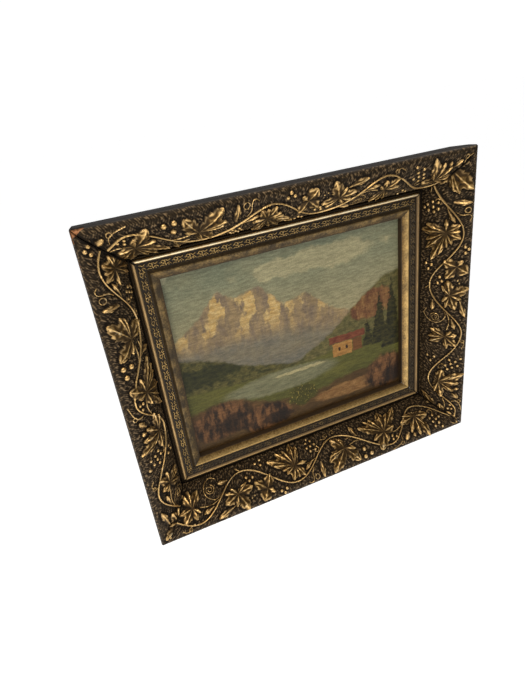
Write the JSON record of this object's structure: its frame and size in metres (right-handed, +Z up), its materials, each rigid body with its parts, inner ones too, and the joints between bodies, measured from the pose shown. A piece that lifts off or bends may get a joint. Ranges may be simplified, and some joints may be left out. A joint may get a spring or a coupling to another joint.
{
  "type": "framed oil painting",
  "caption": "Small landscape painting in a deep gilt moulding with a cast grapevine, a double bead and a sloped gilt liner, made to hang on a wall.",
  "frame": {"origin": "middle of the top rail's flat back face, where the frame bears on the wall", "axes": "+X along the width, to the right as the painting is looked at; +Y into the wall; +Z up"},
  "size_m": [0.4572, 0.062, 0.3886],
  "materials": {
    "moulding": "wood with cast composition ornament, antique gold over dark bronze",
    "liner": "wood with worn gold leaf",
    "painting": "oil paint on a thin wooden panel, varnished"
  },
  "bodies": {
    "root": {"top_rail": "moulding", "bottom_rail": "moulding", "left_rail": "moulding", "right_rail": "moulding", "top_liner": "liner", "bottom_liner": "liner", "left_liner": "liner", "right_liner": "liner", "painted_panel": "painting"}
  },
  "joints": []
}
